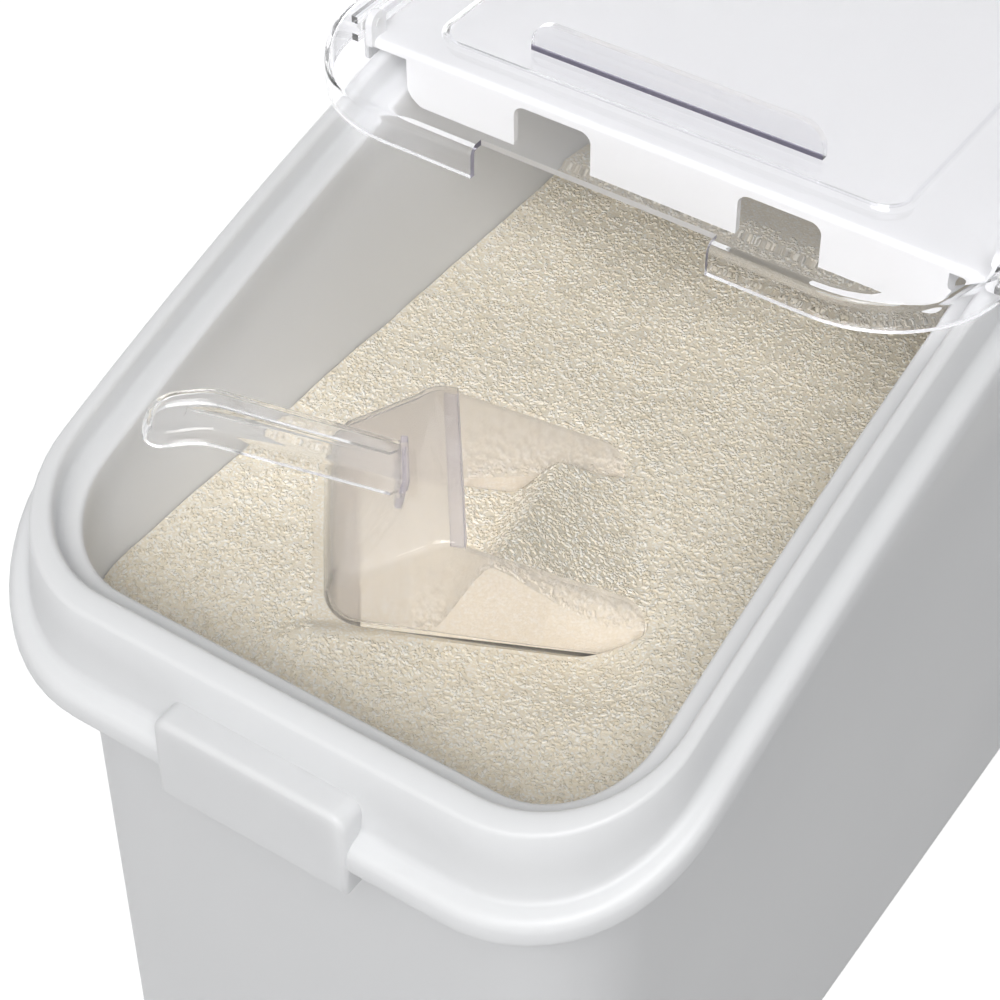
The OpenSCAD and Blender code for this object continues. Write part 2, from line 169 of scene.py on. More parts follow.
sweep = bmesh.new()
bmesh.ops.create_grid(sweep, x_segments=1, y_segments=1, size=FLOOR_SIZE / 2)
floor_mesh = bpy.data.meshes.new("floor")
sweep.to_mesh(floor_mesh)
sweep.free()
floor_mesh.materials.append(paper)
floor = bpy.data.objects.new("floor", floor_mesh)
floor.location.z = cad_bounds[0][2] - 0.2 * mm
bpy.context.scene.collection.objects.link(floor)

# ------------------------------------------------------------------- tub
# One polypropylene injection moulding: drafted walls on a standing ring, and
# round the mouth a top band, a step, a flared collar and a bead. The sides'
# rim falls to the front in a long curve. The skin has a fine satin finish.

RIM_W, RIM_L, FRONT_H = 275 * mm, 572 * mm, 342 * mm
CORNER_R = 55 * mm
WALL, FLOOR_T, FOOT_H, DRAFT = 5.6 * mm, 4 * mm, 3 * mm, 3 * mm
BAND_W, BAND_FRONT_W = 6 * mm, 10.5 * mm
STEP_D, STEP_W, LEDGE_T = 12 * mm, 9.4 * mm, 3.5 * mm
COLLAR_T, FLARE = 3 * mm, 3 * mm
BEAD_OUT, BEAD_H = 11.5 * mm, 14 * mm
BEAD_DROP_FRONT, BEAD_DROP_MID, BEAD_DROP_SIDE = 29.5 * mm, 21.5 * mm, 19 * mm
TAB_W, TAB_OUT, TAB_H, TAB_TOP_DROP, TAB_WALL = 84 * mm, 13.2 * mm, 40 * mm, 17 * mm, 3.8 * mm
TAB_CORNER_R, TAB_EDGE_R, TAB_SPREAD = 6 * mm, 2.6 * mm, 3 * mm
FOOT_W = WALL + 3 * mm
CREASE, PLASTIC_IOR = 34, 1.49

# The rim's side view: an arc that starts steep at the front, a bend, a level
RIM_SLOPE = math.radians(22)
RIM_CURVE_R, BEND_R = 1600 * mm, 120 * mm
SLOPE_L, TURN_L = 256 * mm, 60 * mm
Y_FRONT = TAB_OUT - (TAB_OUT + RIM_L + BEAD_OUT) / 2
Y_REAR = Y_FRONT + RIM_L
Y_BEND = Y_FRONT + SLOPE_L
BEND_A = math.asin(math.sin(RIM_SLOPE) - SLOPE_L / RIM_CURVE_R)
Y_FLAT = Y_BEND + BEND_R * math.sin(BEND_A)
REAR_H = (FRONT_H + RIM_CURVE_R * (math.cos(BEND_A) - math.cos(RIM_SLOPE))
          + BEND_R * (1 - math.cos(BEND_A)))

MOUTH_IN, MOUTH_IN_FRONT = BAND_W + STEP_W, BAND_FRONT_W + STEP_W
WALL_IN, WALL_IN_FRONT = MOUTH_IN - WALL, MOUTH_IN_FRONT - WALL


def rim_height(y):
    """Height of the rim at a place along the bin."""
    if y >= Y_FLAT:
        return REAR_H
    if y >= Y_BEND:
        return REAR_H - BEND_R * (1 - math.cos(math.asin((Y_FLAT - y) / BEND_R)))
    slope = math.asin(math.sin(RIM_SLOPE) - (y - Y_FRONT) / RIM_CURVE_R)
    return FRONT_H + RIM_CURVE_R * (math.cos(slope) - math.cos(RIM_SLOPE))


def bead_drop(y):
    """How far the bead's top lies below the rim."""
    back = y - Y_FRONT
    if back <= 0:
        return BEAD_DROP_FRONT
    if back <= TURN_L:
        turned = (1 - math.cos(math.pi * back / TURN_L)) / 2
        return BEAD_DROP_FRONT + (BEAD_DROP_MID - BEAD_DROP_FRONT) * turned
    if back <= SLOPE_L:
        along = (back - TURN_L) / (SLOPE_L - TURN_L)
        return BEAD_DROP_MID + (BEAD_DROP_SIDE - BEAD_DROP_MID) * along
    return BEAD_DROP_SIDE


def arc_points(cx, cy, r, start, end, steps):
    """Points along an arc from one angle to another, in degrees."""
    return [(cx + r * math.cos(math.radians(start + (end - start) * i / steps)),
             cy + r * math.sin(math.radians(start + (end - start) * i / steps)))
            for i in range(steps + 1)]


def rounded_outline(half, y0, y1, r_front, r_rear, side_steps=72, end_steps=14, corner_steps=14):
    """Points round a rectangle with rounded corners, from the front right, the same count each time."""
    corners = [(half, y0, r_front, -90), (half, y1, r_rear, 0),
               (-half, y1, r_rear, 90), (-half, y0, r_front, 180)]
    arcs = []
    for x, y, r, start in corners:
        cx = x - math.copysign(r, x)
        cy = y + r if y == y0 else y - r
        arcs.append(arc_points(cx, cy, r, start, start + 90, corner_steps))
    points = []
    for k, arc in enumerate(arcs):
        points += arc
        (ax, ay), (bx, by) = arc[-1], arcs[(k + 1) % 4][0]
        steps = end_steps if k % 2 else side_steps
        points += [(ax + (bx - ax) * i / steps, ay + (by - ay) * i / steps)
                   for i in range(1, steps)]
    return points


def rim_outline(inset, inset_front):
    """The rim's outline from above, drawn in by one distance in front and another elsewhere."""
    return rounded_outline(RIM_W / 2 - inset, Y_FRONT + inset_front, Y_REAR - inset,
                           CORNER_R - inset, CORNER_R - inset)


def rounded_path(points, radii, steps=6):
    """The path through the points with each inner corner rounded to its radius."""
    path = [points[0]]
    for before, corner, after, r in zip(points, points[1:], points[2:], radii[1:]):
        u, v = before - corner, after - corner
        half_angle = u.angle(v) / 2
        reach = min(r / math.tan(half_angle), 0.48 * u.length, 0.48 * v.length)
        u, v = u.normalized(), v.normalized()
        centre = corner + (u + v).normalized() * (reach / math.cos(half_angle))
        start, end = corner + u * reach - centre, corner + v * reach - centre
        sweep_angle = start.angle(end)
        for i in range(steps + 1):
            a, b = (1 - i / steps) * sweep_angle, i / steps * sweep_angle
            path.append(centre + (start * math.sin(a) + end * math.sin(b)) / math.sin(sweep_angle))
    path.append(points[-1])
    return path


def new_piece(name, skin, material, crease=CREASE):
    """An object from a bmesh, smooth shaded with creases kept sharp."""
    bmesh.ops.recalc_face_normals(skin, faces=skin.faces)
    mesh = bpy.data.meshes.new(name)
    skin.to_mesh(mesh)
    skin.free()
    if material:
        mesh.materials.append(material)
    mesh.shade_smooth()
    mesh.set_sharp_from_angle(angle=math.radians(crease))
    piece = bpy.data.objects.new(name, mesh)
    bpy.context.scene.collection.objects.link(piece)
    return piece


def loft(columns, capped=(0, -1), hoop=False):
    """A bmesh skin round columns of points, with the capped ends closed, or joined to a hoop."""
    skin = bmesh.new()
    grid = [[skin.verts.new(p) for p in column] for column in columns]
    for a, b in zip(grid, grid[1:] + grid[:1]):
        for j in range(len(a) - (0 if hoop else 1)):
            k = (j + 1) % len(a)
            skin.faces.new((a[j], b[j], b[k], a[k]))
    for end in capped:
        skin.faces.new([column[end] for column in grid])
    return skin


def rounded_section(lines, steps=6):
    """Columns of points round a moulding: its section, rounded, at each place of its outline."""
    radii = [r for _, r in lines]
    return [rounded_path(column, radii, steps) for column in zip(*(ring for ring, _ in lines))]


def drafted(inset, inset_front, height):
    """Outline of a wall that leans in below the rear rim, at a height worked out from Y."""
    upright = rim_outline(inset, inset_front)
    leaning = rim_outline(inset + DRAFT, inset_front + DRAFT)
    ring = []
    for (ax, ay), (bx, by) in zip(upright, leaning):
        z = height(ay)
        lean = (REAR_H - z) / REAR_H
        ring.append(Vector((ax + (bx - ax) * lean, ay + (by - ay) * lean, z)))
    return ring


def under_rim(inset, inset_front, drop):
    """Outline at a drop below the rim; the drop may depend on Y."""
    return [Vector((x, y, rim_height(y) - (drop(y) if callable(drop) else drop)))
            for x, y in rim_outline(inset, inset_front)]


# Each line of the section: its ring of points and the radius it is rounded to
under_ledge = STEP_D + LEDGE_T
tub_lines = [
    (drafted(MOUTH_IN + 20 * mm, MOUTH_IN_FRONT + 20 * mm, lambda y: FOOT_H + FLOOR_T), 0),
    (drafted(MOUTH_IN, MOUTH_IN_FRONT, lambda y: FOOT_H + FLOOR_T), 9 * mm),
    (drafted(MOUTH_IN, MOUTH_IN_FRONT, lambda y: rim_height(y) - STEP_D), 2.0 * mm),
    (under_rim(BAND_W, BAND_FRONT_W, STEP_D), 2.6 * mm),
    (under_rim(BAND_W, BAND_FRONT_W, 0), 2.4 * mm),
    (under_rim(0, 0, 0), 2.6 * mm),
    (under_rim(-FLARE, -FLARE, bead_drop), 4 * mm),
    (under_rim(-BEAD_OUT, -BEAD_OUT, bead_drop), 5.5 * mm),
    (under_rim(-BEAD_OUT, -BEAD_OUT, lambda y: bead_drop(y) + BEAD_H), 3.5 * mm),
    (under_rim(COLLAR_T, COLLAR_T, lambda y: bead_drop(y) + BEAD_H), 0.8 * mm),
    (under_rim(COLLAR_T, COLLAR_T, under_ledge), 1.2 * mm),
    (drafted(WALL_IN, WALL_IN_FRONT, lambda y: rim_height(y) - under_ledge), 1.2 * mm),
    (drafted(WALL_IN, WALL_IN_FRONT, lambda y: 0), 2.2 * mm),
    (drafted(WALL_IN + FOOT_W, WALL_IN_FRONT + FOOT_W, lambda y: 0), 1 * mm),
    (drafted(WALL_IN + FOOT_W, WALL_IN_FRONT + FOOT_W, lambda y: FOOT_H), 1 * mm),
    (drafted(WALL_IN + FOOT_W + 8 * mm, WALL_IN_FRONT + FOOT_W + 8 * mm, lambda y: FOOT_H), 0),
]


def new_group(name, numbers, results):
    """A node group that takes the named numbers and gives the named results."""
    group = bpy.data.node_groups.new(name, "ShaderNodeTree")
    for label, value in numbers:
        socket = group.interface.new_socket(label, in_out="INPUT", socket_type="NodeSocketFloat")
        socket.default_value = value
    for label in results:
        group.interface.new_socket(label, in_out="OUTPUT", socket_type="NodeSocketFloat")
    return group


def skin_group():
    """Node group for a moulded skin: a fine texture, slow shrink waves and soft cloudiness."""
    group = new_group("moulded_skin", (("Texture per metre", 2500.0), ("Waves per metre", 22.0),
                                       ("Wave share", 0.5)), ("Cloud", "Height"))
    entry, result, place, fine, waves, cloud, mix = add_nodes(
        group, "NodeGroupInput", "NodeGroupOutput", "ShaderNodeTexCoord", "ShaderNodeTexNoise",
        "ShaderNodeTexNoise", "ShaderNodeTexNoise", "ShaderNodeMix")
    spot = place.outputs["Object"]
    set_up(group, fine, {"Vector": spot, "Scale": entry.outputs["Texture per metre"], "Detail": 2})
    set_up(group, waves, {"Vector": spot, "Scale": entry.outputs["Waves per metre"], "Detail": 1})
    set_up(group, cloud, {"Vector": spot, "Scale": 9, "Detail": 4})
    set_up(group, mix, {"Factor": entry.outputs["Wave share"], "A": fine.outputs["Fac"],
                        "B": waves.outputs["Fac"]})
    set_up(group, result, {"Height": mix.outputs["Result"], "Cloud": cloud.outputs["Fac"]})
    return group


moulded_skin = skin_group()


def white_plastic(name, tint, deep_tint, smooth, rough, bump_mm, texture=2500, waves=22, share=0.5):
    """An opaque white plastic whose colour, gloss and texture follow the moulded skin."""
    material, tree, shader = new_material(name)
    skin, colour, finish, bump = add_nodes(tree, "ShaderNodeGroup", "ShaderNodeMix",
                                           "ShaderNodeMapRange", "ShaderNodeBump")
    skin.node_tree = moulded_skin
    cloud = skin.outputs["Cloud"]
    set_up(tree, skin, {"Texture per metre": texture, "Waves per metre": waves, "Wave share": share})
    colour.data_type = "RGBA"
    set_up(tree, colour, {"Factor": cloud, "A": (*tint, 1), "B": (*deep_tint, 1)})
    set_up(tree, finish, {"Value": cloud, "To Min": smooth, "To Max": rough})
    set_up(tree, bump, {"Height": skin.outputs["Height"], "Distance": bump_mm * mm, "Strength": 1})
    set_up(tree, shader, {"Base Color": colour.outputs["Result"], "IOR": PLASTIC_IOR,
                          "Roughness": finish.outputs["Result"], "Normal": bump.outputs["Normal"]})
    return material


def carve(piece, tool, operation, cut_material=None):
    """Joins a tool object to a piece, or cuts it out, and drops the tool."""
    tool.data.materials.clear()
    for material in [cut_material] if cut_material else piece.data.materials[:1]:
        tool.data.materials.append(material)
    cut = piece.modifiers.new("carve", "BOOLEAN")
    cut.operation = operation
    cut.solver = "MANIFOLD"
    cut.material_mode = "TRANSFER"
    cut.object = tool
    settle(piece)
    bpy.data.objects.remove(tool)


def settle(piece):
    """Puts the modifiers' result into the mesh itself."""
    bpy.context.view_layer.update()
    shaped = piece.evaluated_get(bpy.context.evaluated_depsgraph_get())
    piece.data = bpy.data.meshes.new_from_object(shaped)
    piece.modifiers.clear()
    piece.data.shade_smooth()
    piece.data.set_sharp_from_angle(angle=math.radians(CREASE))


def tab_solid(name, half, top, bottom, y_back, y_front, corner_r, edge_r, spread=0.0):
    """Block with rounded upper corners and a rounded front edge, spreading at its back."""
    def outline(grow, y):
        """The block's outline at one depth, grown on all sides."""
        points = [(-half - grow, bottom - grow), (half + grow, bottom - grow)]
        r = corner_r + grow
        for cx, start in ((half + grow - r, 0), (-half - grow + r, 90)):
            points += arc_points(cx, top + grow - r, r, start, start + 90, 6)
        return [Vector((x, y, z)) for x, z in points]

    rings = [outline(spread, y_back)]
    if spread:
        for i in range(1, 7):
            t = math.radians(15 * i)
            rings.append(outline(spread * (1 - math.sin(t)),
                                 Y_FRONT - spread * (1 - math.cos(t))))
    for i in range(7):
        t = math.radians(15 * i)
        rings.append(outline(-edge_r * (1 - math.cos(t)), y_front + edge_r * (1 - math.sin(t))))
    return new_piece(name, loft(list(zip(*rings))), None)


tub_plastic = white_plastic("tub_plastic", (0.865, 0.872, 0.88), (0.845, 0.852, 0.862),
                            0.34, 0.42, 0.012)
set_up(tub_plastic.node_tree, tub_plastic.node_tree.nodes["Principled BSDF"],
       {"Subsurface Weight": 0.6, "Subsurface Radius": (1, 1, 1), "Subsurface Scale": 15 * mm})
tub = new_piece("tub_moulding", loft(rounded_section(tub_lines)), tub_plastic)
tab_top = FRONT_H - TAB_TOP_DROP
carve(tub, tab_solid("pull", TAB_W / 2, tab_top, tab_top - TAB_H, Y_FRONT + 4 * mm,
                     Y_FRONT - TAB_OUT, TAB_CORNER_R, TAB_EDGE_R, TAB_SPREAD), "UNION")
carve(tub, tab_solid("finger_pocket", TAB_W / 2 - TAB_WALL, tab_top - TAB_WALL,
                     tab_top - TAB_H - 8 * mm, Y_FRONT + WALL_IN_FRONT - 1 * mm,
                     Y_FRONT - TAB_OUT + TAB_WALL, TAB_CORNER_R - 1 * mm, 2 * mm), "DIFFERENCE")
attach(tub, "tub")
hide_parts("bin_body")

# -------------------------------------------------------------- rear lid
# A gloss white moulding that rests on the level rear rim: a plate with a
# skirt outside the collar, ribs that locate it in the mouth, a flange with
# two cut-outs behind the opening, and a lug with a bore over each side.

PLATE_T, LIP_T, LIP_DROP = 4 * mm, 2.5 * mm, 12 * mm
LIP_HALF = RIM_W / 2 + FLARE + 6.5 * mm
LIP_REAR = Y_REAR + LIP_HALF - RIM_W / 2
HIP_HALF, HIP_Y = RIM_W / 2 + 2.5 * mm, Y_BEND + 3 * mm
FLANGE_T, FLANGE_DROP = 3 * mm, 21 * mm
FLANGE_Y = Y_BEND - FLANGE_T
FLANGE_HALF = RIM_W / 2 - MOUTH_IN - 1 * mm
FLANGE_R = 8 * mm
CUTOUT_W, CUTOUT_GAP, CUTOUT_H, CUTOUT_R = 36 * mm, 102 * mm, 19.5 * mm, 5 * mm
LOCATE_IN, LOCATE_DROP, LOCATE_T = MOUTH_IN + 1 * mm, 9 * mm, 2.5 * mm
PLATE_Z = REAR_H + PLATE_T
PIVOT_Y, PIVOT_Z = Y_BEND, PLATE_Z + 6 * mm
LUG_X, LUG_T, LUG_R, PIN_R, PIN_SLIP = HIP_HALF - 3.5 * mm, 3.2 * mm, 5 * mm, 2 * mm, 0.05 * mm
SLIP = 0.3 * mm
BEYOND = 9 * mm  # how far a cutting tool reaches past the piece


def block(name, low, high, edge_r=0.0, material=None):
    """A box between two corners, with its edges rounded if asked."""
    shape = bmesh.new()
    centre = (Vector(low) + Vector(high)) / 2
    bmesh.ops.create_cube(shape, size=1.0)
    bmesh.ops.scale(shape, vec=Vector(high) - Vector(low), verts=shape.verts)
    bmesh.ops.translate(shape, vec=centre, verts=shape.verts)
    if edge_r:
        bmesh.ops.bevel(shape, geom=shape.edges, offset=edge_r, segments=4, profile=0.5,
                        affect="EDGES")
    return new_piece(name, shape, material)


def prism(name, outline, axis, start, end):
    """A flat outline of (u, v) points carried along X, Y or Z from start to end."""
    def at(u, v, w):
        """The outline's point at a distance along the axis."""
        return Vector({"X": (w, u, v), "Y": (u, w, v), "Z": (u, v, w)}[axis])

    return new_piece(name, loft([(at(u, v, start), at(u, v, end)) for u, v in outline]), None)


def arch(half, bottom, top, r, steps=8):
    """Outline with two square lower corners and two rounded upper ones."""
    points = [(-half, bottom), (half, bottom)]
    for cx, start in ((half - r, 0), (r - half, 90)):
        points += arc_points(cx, top - r, r, start, start + 90, steps)
    return points


def lip_outline(inset):
    """The rear lid's outline from above, drawn in by a distance."""
    r = CORNER_R + LIP_HALF - RIM_W / 2 - inset
    return rounded_outline(LIP_HALF - inset, HIP_Y + inset, LIP_REAR - inset, 1.2 * mm, r)


def level_ring(outline, z):
    """An outline laid level at a height."""
    return [Vector((x, y, z)) for x, y in outline]


lip_low = REAR_H - LIP_DROP
plate_lines = [
    (level_ring(lip_outline(30 * mm), REAR_H), 0),
    (level_ring(lip_outline(LIP_T), REAR_H), 0.8 * mm),
    (level_ring(lip_outline(LIP_T), lip_low), 0.7 * mm),
    (level_ring(lip_outline(0), lip_low), 0.9 * mm),
    (level_ring(lip_outline(0), PLATE_Z), 2.4 * mm),
    (level_ring(lip_outline(30 * mm), PLATE_Z), 0),
]

rear_lid_plastic = white_plastic("rear_lid_plastic", (0.90, 0.90, 0.90), (0.885, 0.885, 0.888),
                                 0.16, 0.22, 0.006, 1800, 16, 0.7)
rear_lid = new_piece("rear_lid_moulding", loft(rounded_section(plate_lines, 5)), rear_lid_plastic)
carve(rear_lid, block("front_gap", (LIP_T - LIP_HALF, HIP_Y - BEYOND, lip_low - 5 * mm),
                      (LIP_HALF - LIP_T, HIP_Y + BEYOND, REAR_H)), "DIFFERENCE")

flange_low = REAR_H - FLANGE_DROP
nose_line = [(FLANGE_Y, flange_low), (FLANGE_Y, PLATE_Z), (HIP_Y + 6 * mm, PLATE_Z),
             (HIP_Y + 6 * mm, REAR_H), (Y_BEND, REAR_H), (Y_BEND, flange_low),
             (FLANGE_Y, flange_low)]
nose_radii = [0, 2.6 * mm, 0.01 * mm, 0.01 * mm, 1.5 * mm, 0.9 * mm, 0]
nose_path = rounded_path([Vector((0, y, z)) for y, z in nose_line], nose_radii)[:-1]
nose = prism("nose", [(p.y, p.z) for p in nose_path], "X", -HIP_HALF, HIP_HALF)
for side in (-1, 1):
    corner = [(FLANGE_HALF * side, REAR_H), ((HIP_HALF + BEYOND) * side, REAR_H),
              ((HIP_HALF + BEYOND) * side, flange_low - BEYOND),
              ((FLANGE_HALF - FLANGE_R) * side, flange_low - BEYOND)]
    corner += [((FLANGE_HALF - FLANGE_R + FLANGE_R * math.sin(math.radians(11.25 * i))) * side,
                flange_low + FLANGE_R * (1 - math.cos(math.radians(11.25 * i))))
               for i in range(9)]
    gap = [(u + side * CUTOUT_GAP / 2, v) for u, v in
           arch(CUTOUT_W / 2, flange_low - BEYOND, flange_low + CUTOUT_H, CUTOUT_R)]
    for cut_name, outline in (("flange_end", corner), ("cutout", gap)):
        carve(nose, prism(cut_name, outline, "Y", FLANGE_Y - BEYOND, Y_BEND + BEYOND), "DIFFERENCE")
carve(rear_lid, nose, "UNION")

rib_lines = [level_ring(rounded_outline(RIM_W / 2 - inset, Y_BEND - 12 * mm, Y_REAR - inset,
                                        1 * mm, CORNER_R - inset), z)
             for inset, z in ((LOCATE_IN, REAR_H + 1 * mm), (LOCATE_IN, REAR_H - LOCATE_DROP),
                              (LOCATE_IN + LOCATE_T, REAR_H - LOCATE_DROP),
                              (LOCATE_IN + LOCATE_T, REAR_H + 1 * mm))]
ribs = new_piece("ribs", loft(list(zip(*rib_lines)), capped=(), hoop=True), None)
carve(ribs, block("rib_front", (-LIP_HALF, Y_BEND - 30 * mm, lip_low - BEYOND),
                  (LIP_HALF, Y_BEND - 1 * mm, PLATE_Z)), "DIFFERENCE")
carve(rear_lid, ribs, "UNION")
for side in (-1, 1):
    lug = [(PIVOT_Y + LUG_R, REAR_H + 1 * mm), *arc_points(PIVOT_Y, PIVOT_Z, LUG_R, 0, 180, 15),
           (PIVOT_Y - LUG_R, REAR_H + 1 * mm)]
    carve(rear_lid, prism("lug", lug, "X", side * LUG_X, side * (LUG_X + LUG_T)), "UNION")
    bore = arc_points(PIVOT_Y, PIVOT_Z, PIN_R + PIN_SLIP, 0, 345, 23)
    carve(rear_lid, prism("bore", bore, "X", side * (LUG_X - 5 * mm),
                          side * (LUG_X + LUG_T + BEYOND)), "DIFFERENCE")
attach(rear_lid, "rear_cover")
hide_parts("rear_lid")

# ----------------------------------------------------------- guide shoes
# Two small acetal blocks that run in the grooves inside the clear lid's skirt.
# A pin moulded on each turns in its lug, so the lid can slide and tip.

LID_D, LID_T = 15.2 * mm, 2.5 * mm
LID_HALF = LIP_HALF - 1 * mm
GROOVE_H, SHOE_L = 5 * mm, 12 * mm
SHOE_OUT = LID_HALF - LID_T - SLIP
SHOE_IN = LUG_X + LUG_T + 2 * SLIP
SHOE_REACH = GROOVE_H / 2 - SLIP
shoe_plastic = white_plastic("shoe_plastic", (0.83, 0.83, 0.82), (0.80, 0.80, 0.79),
                             0.30, 0.38, 0.008)
for side, name in ((-1, "guide_shoe_left"), (1, "guide_shoe_right")):
    left, right = sorted((side * SHOE_IN, side * SHOE_OUT))
    shoe = block(name + "_moulding", (left, PIVOT_Y - SHOE_L / 2, PIVOT_Z - SHOE_REACH),
                 (right, PIVOT_Y + SHOE_L / 2, PIVOT_Z + SHOE_REACH), 0.5 * mm, shoe_plastic)
    pin = arc_points(PIVOT_Y, PIVOT_Z, PIN_R, 0, 345, 23)
    carve(shoe, prism("pin", pin, "X", side * (LUG_X - 0.5 * mm), side * (SHOE_IN + 1 * mm)), "UNION")
    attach(shoe, "guides")
    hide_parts(name)

# ------------------------------------------------------------- clear lid
# One injection moulding of clear styrene with a faint lilac cast, 2.5 mm
# thick. It has a skirt with a notch at the front, a low brow, a raised panel
# and an upright grip. Its cut edges and the grip's foot get a dark lilac
# tint: painted shade for the dark lines that clear sheet shows at its edges.

LID_L, LID_FRONT_R, LID_REAR_R = 294 * mm, CORNER_R - 2 * mm, 8 * mm
LID_Z = PLATE_Z + SLIP
LID_TOP = LID_Z + LID_D + LID_T
LID_FRONT = PIVOT_Y - 59 * mm
LID_REAR = LID_FRONT + LID_L
LID_EDGE_R = 4 * mm
BROW_FLAT, BROW_L, BROW_DROP = 13 * mm, 50 * mm, 4 * mm
PANEL_HALF, PANEL_R, PANEL_UP, PANEL_MARGIN = 102 * mm, 12 * mm, 2.5 * mm, 16 * mm
PANEL_OUTSIDE, PANEL_WALL = 1.5, 2.2  # in mm: where the panel's sloping wall starts, and its run
COAT_ROUGH, SHADOW_TINT = 0.04, (0.97, 0.97, 0.98, 1)
PANEL_FRONT = LID_FRONT + BROW_L - 2 * mm
NOTCH_HALF, NOTCH_H, NOTCH_D = 51 * mm, 14 * mm, 7 * mm
GRIP_Y, GRIP_L, GRIP_H, GRIP_T, GRIP_R = PIVOT_Y + 1 * mm, 128 * mm, 16 * mm, 3 * mm, 10 * mm
GRIP_FOOT = 2.5 * mm
RIB_DEPTH, RIB_T, RIB_BACK = 3.1 * mm, 3 * mm, 50 * mm


def eased(t):
    """A share from 0 to 1 that starts and stops softly."""
    t = min(max(t, 0.0), 1.0)
    return t * t * (3 - 2 * t)


def lid_surface(y):
    """Height of the lid's top: the low brow, the ramp and the level."""
    return LID_TOP - BROW_DROP * (1 - eased((y - LID_FRONT - BROW_FLAT) / (BROW_L - BROW_FLAT)))


def lid_outline(inset):
    """The clear lid's outline from above, drawn in by a distance."""
    return rounded_outline(LID_HALF - inset, LID_FRONT + inset, LID_REAR - inset,
                           LID_FRONT_R - inset, max(LID_REAR_R - inset, 1 * mm))


def panel_outline(inset):
    """The raised panel's outline from above, drawn in by a distance."""
    return rounded_outline(PANEL_HALF - inset, PANEL_FRONT + inset,
                           LID_REAR - PANEL_MARGIN - inset, PANEL_R - inset, PANEL_R - inset)


def blended(outline, other, share):
    """The outline that lies a share of the way from one outline to another."""
    return [(ax + (bx - ax) * share, ay + (by - ay) * share)
            for (ax, ay), (bx, by) in zip(outline, other)]


def edge_insets(r, steps):
    """Inset and drop of each ring over an edge rounded to a radius, from its foot to its top."""
    turns = [math.radians(90 * i / steps) for i in range(steps + 1)]
    return [(r * (1 - math.cos(t)), r * (1 - math.sin(t))) for t in turns]


lid_rings = [level_ring(lid_outline(0), LID_Z), level_ring(lid_outline(0), LID_Z + 4 * mm)]
for inset, drop in edge_insets(LID_EDGE_R, 7):
    lid_rings.append([Vector((x, y, lid_surface(y) - drop)) for x, y in lid_outline(inset)])
for i in range(1, 27):
    ring = blended(lid_outline(LID_EDGE_R), panel_outline(-PANEL_OUTSIDE * mm), i / 26)
    lid_rings.append([Vector((x, y, lid_surface(y))) for x, y in ring])
for share in [i / 8 for i in range(1, 9)]:
    lid_rings.append([Vector((x, y, lid_surface(y) + PANEL_UP * eased(share)))
                      for x, y in panel_outline((PANEL_WALL * share - PANEL_OUTSIDE) * mm)])
lid_rings.append([Vector((x, y, LID_TOP + PANEL_UP)) for x, y in panel_outline(8 * mm)])
lid_skin = loft(list(zip(*lid_rings)), capped=(-1,))


def shell(name, skin, thickness):
    """A closed shell of even thickness, inside an open skin."""
    piece = new_piece(name, skin, None)
    wall = piece.modifiers.new("wall", "SOLIDIFY")
    wall.thickness = thickness
    wall.offset = -1
    wall.use_even_offset = True
    settle(piece)
    return piece


def clear_plastic(name, tint, rough, bend, through=1.0, coat=1.0):
    """A clear moulding plastic that lets the lamps through it."""
    material, tree, shader = new_material(name)
    set_up(tree, shader, {"Base Color": (*tint, 1), "Transmission Weight": through, "IOR": bend,
                          "Roughness": rough, "Coat Weight": coat, "Coat Roughness": COAT_ROUGH})
    path, shadow = add_nodes(tree, "ShaderNodeLightPath", "ShaderNodeBsdfTransparent")
    set_up(tree, shadow, {"Color": SHADOW_TINT})
    set_up(tree, tree.nodes["Material Output"],
           {"Surface": mixed(tree, path.outputs["Is Shadow Ray"], shader, shadow)})
    return material


clear_styrene = clear_plastic("clear_styrene", (0.965, 0.965, 0.98), 0.02, 1.22)
# Dark lilac tint: painted shade for the dark lines that light makes along clear edges.
styrene_painted_edge_shade = clear_plastic("styrene_painted_edge_shade", (0.36, 0.34, 0.46), 0.15, 1.12, 0.5)
notch_edge = clear_plastic("notch_edge", (0.96, 0.93, 0.90), 0.40, 1.10, 0.35, 0.3)

clear_lid = shell("clear_lid_moulding", lid_skin, LID_T)
clear_lid.data.materials.append(clear_styrene)
panel_top = LID_TOP + PANEL_UP
carve(clear_lid, prism("grip", arch(GRIP_L / 2, panel_top - LID_T / 2, LID_TOP + GRIP_H, GRIP_R),
                       "Y", GRIP_Y, GRIP_Y + GRIP_T), "UNION")
# The grip's foot is a thin strip in the dark edge tint: painted shade along the grip's base.
carve(clear_lid, block("grip_foot", (-GRIP_L / 2, GRIP_Y - 0.05 * mm, panel_top - 0.8 * mm),
                       (GRIP_L / 2, GRIP_Y + GRIP_T - 0.2 * mm, panel_top + GRIP_FOOT)),
      "UNION", styrene_painted_edge_shade)
notch = block("notch", (-NOTCH_HALF, LID_FRONT - 1 * mm, LID_Z - 1 * mm),
              (NOTCH_HALF, LID_FRONT + NOTCH_D, LID_Z + NOTCH_H))
carve(clear_lid, notch, "DIFFERENCE", notch_edge)
painted_edge_slot, notch_slot = [clear_lid.data.materials.find(m.name) for m in (styrene_painted_edge_shade, notch_edge)]
